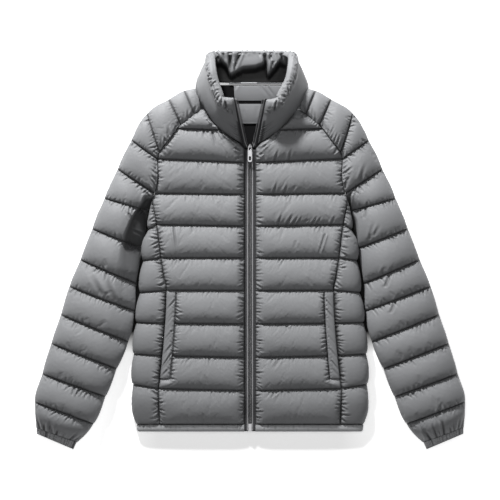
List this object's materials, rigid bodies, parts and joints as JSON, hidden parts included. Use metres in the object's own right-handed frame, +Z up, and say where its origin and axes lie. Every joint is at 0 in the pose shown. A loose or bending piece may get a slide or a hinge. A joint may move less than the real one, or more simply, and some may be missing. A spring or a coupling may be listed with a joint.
{
  "type": "puffer jacket",
  "caption": "Quilted padded jacket laid flat on its back, with a stand-up collar, raglan sleeves, welt pockets and a front zip.",
  "frame": {"origin": "centre of the bounding box, on the surface that the jacket lies on", "axes": "+X to the wearer's left, +Y from hem to collar, +Z up from the surface, towards the jacket's front"},
  "size_m": [0.8052, 0.7387, 0.0905],
  "materials": {
    "shell": "satin woven nylon, quilted over filling",
    "lining": "plain woven nylon, semi-matt",
    "binding": "woven tape",
    "zip_tape": "close woven tape, matt",
    "zip_coil": "nylon coil",
    "zip_metal": "satin plated zinc alloy"
  },
  "bodies": {
    "jacket": {"back_panel": "shell", "front_panel_right": "shell", "front_panel_left": "shell", "side_panel_right": "shell", "side_panel_left": "shell", "sleeve_right": "shell", "sleeve_left": "shell", "cuff_right": "shell", "cuff_left": "shell", "hem_band": "shell", "collar_outer": "shell", "collar_facing": "shell", "pocket_welt_right": "shell", "pocket_welt_left": "shell", "back_lining": "lining", "neck_tape": "binding", "hanging_loop": "binding", "zip_tape_right": "zip_tape", "zip_tape_left": "zip_tape", "zip_coil_right": "zip_coil", "zip_coil_left": "zip_coil", "zip_slider": "zip_metal", "zip_box": "zip_metal"},
    "pull_tab": {"zip_pull_tab": "zip_metal"}
  },
  "joints": [
    {"name": "pull_tab_flip", "type": "hinge", "parent": "jacket", "child": "pull_tab", "pos_m": [0, 0.195, 0.0324], "axis": [-1, 0, 0], "range_deg": [0, 150]}
  ]
}
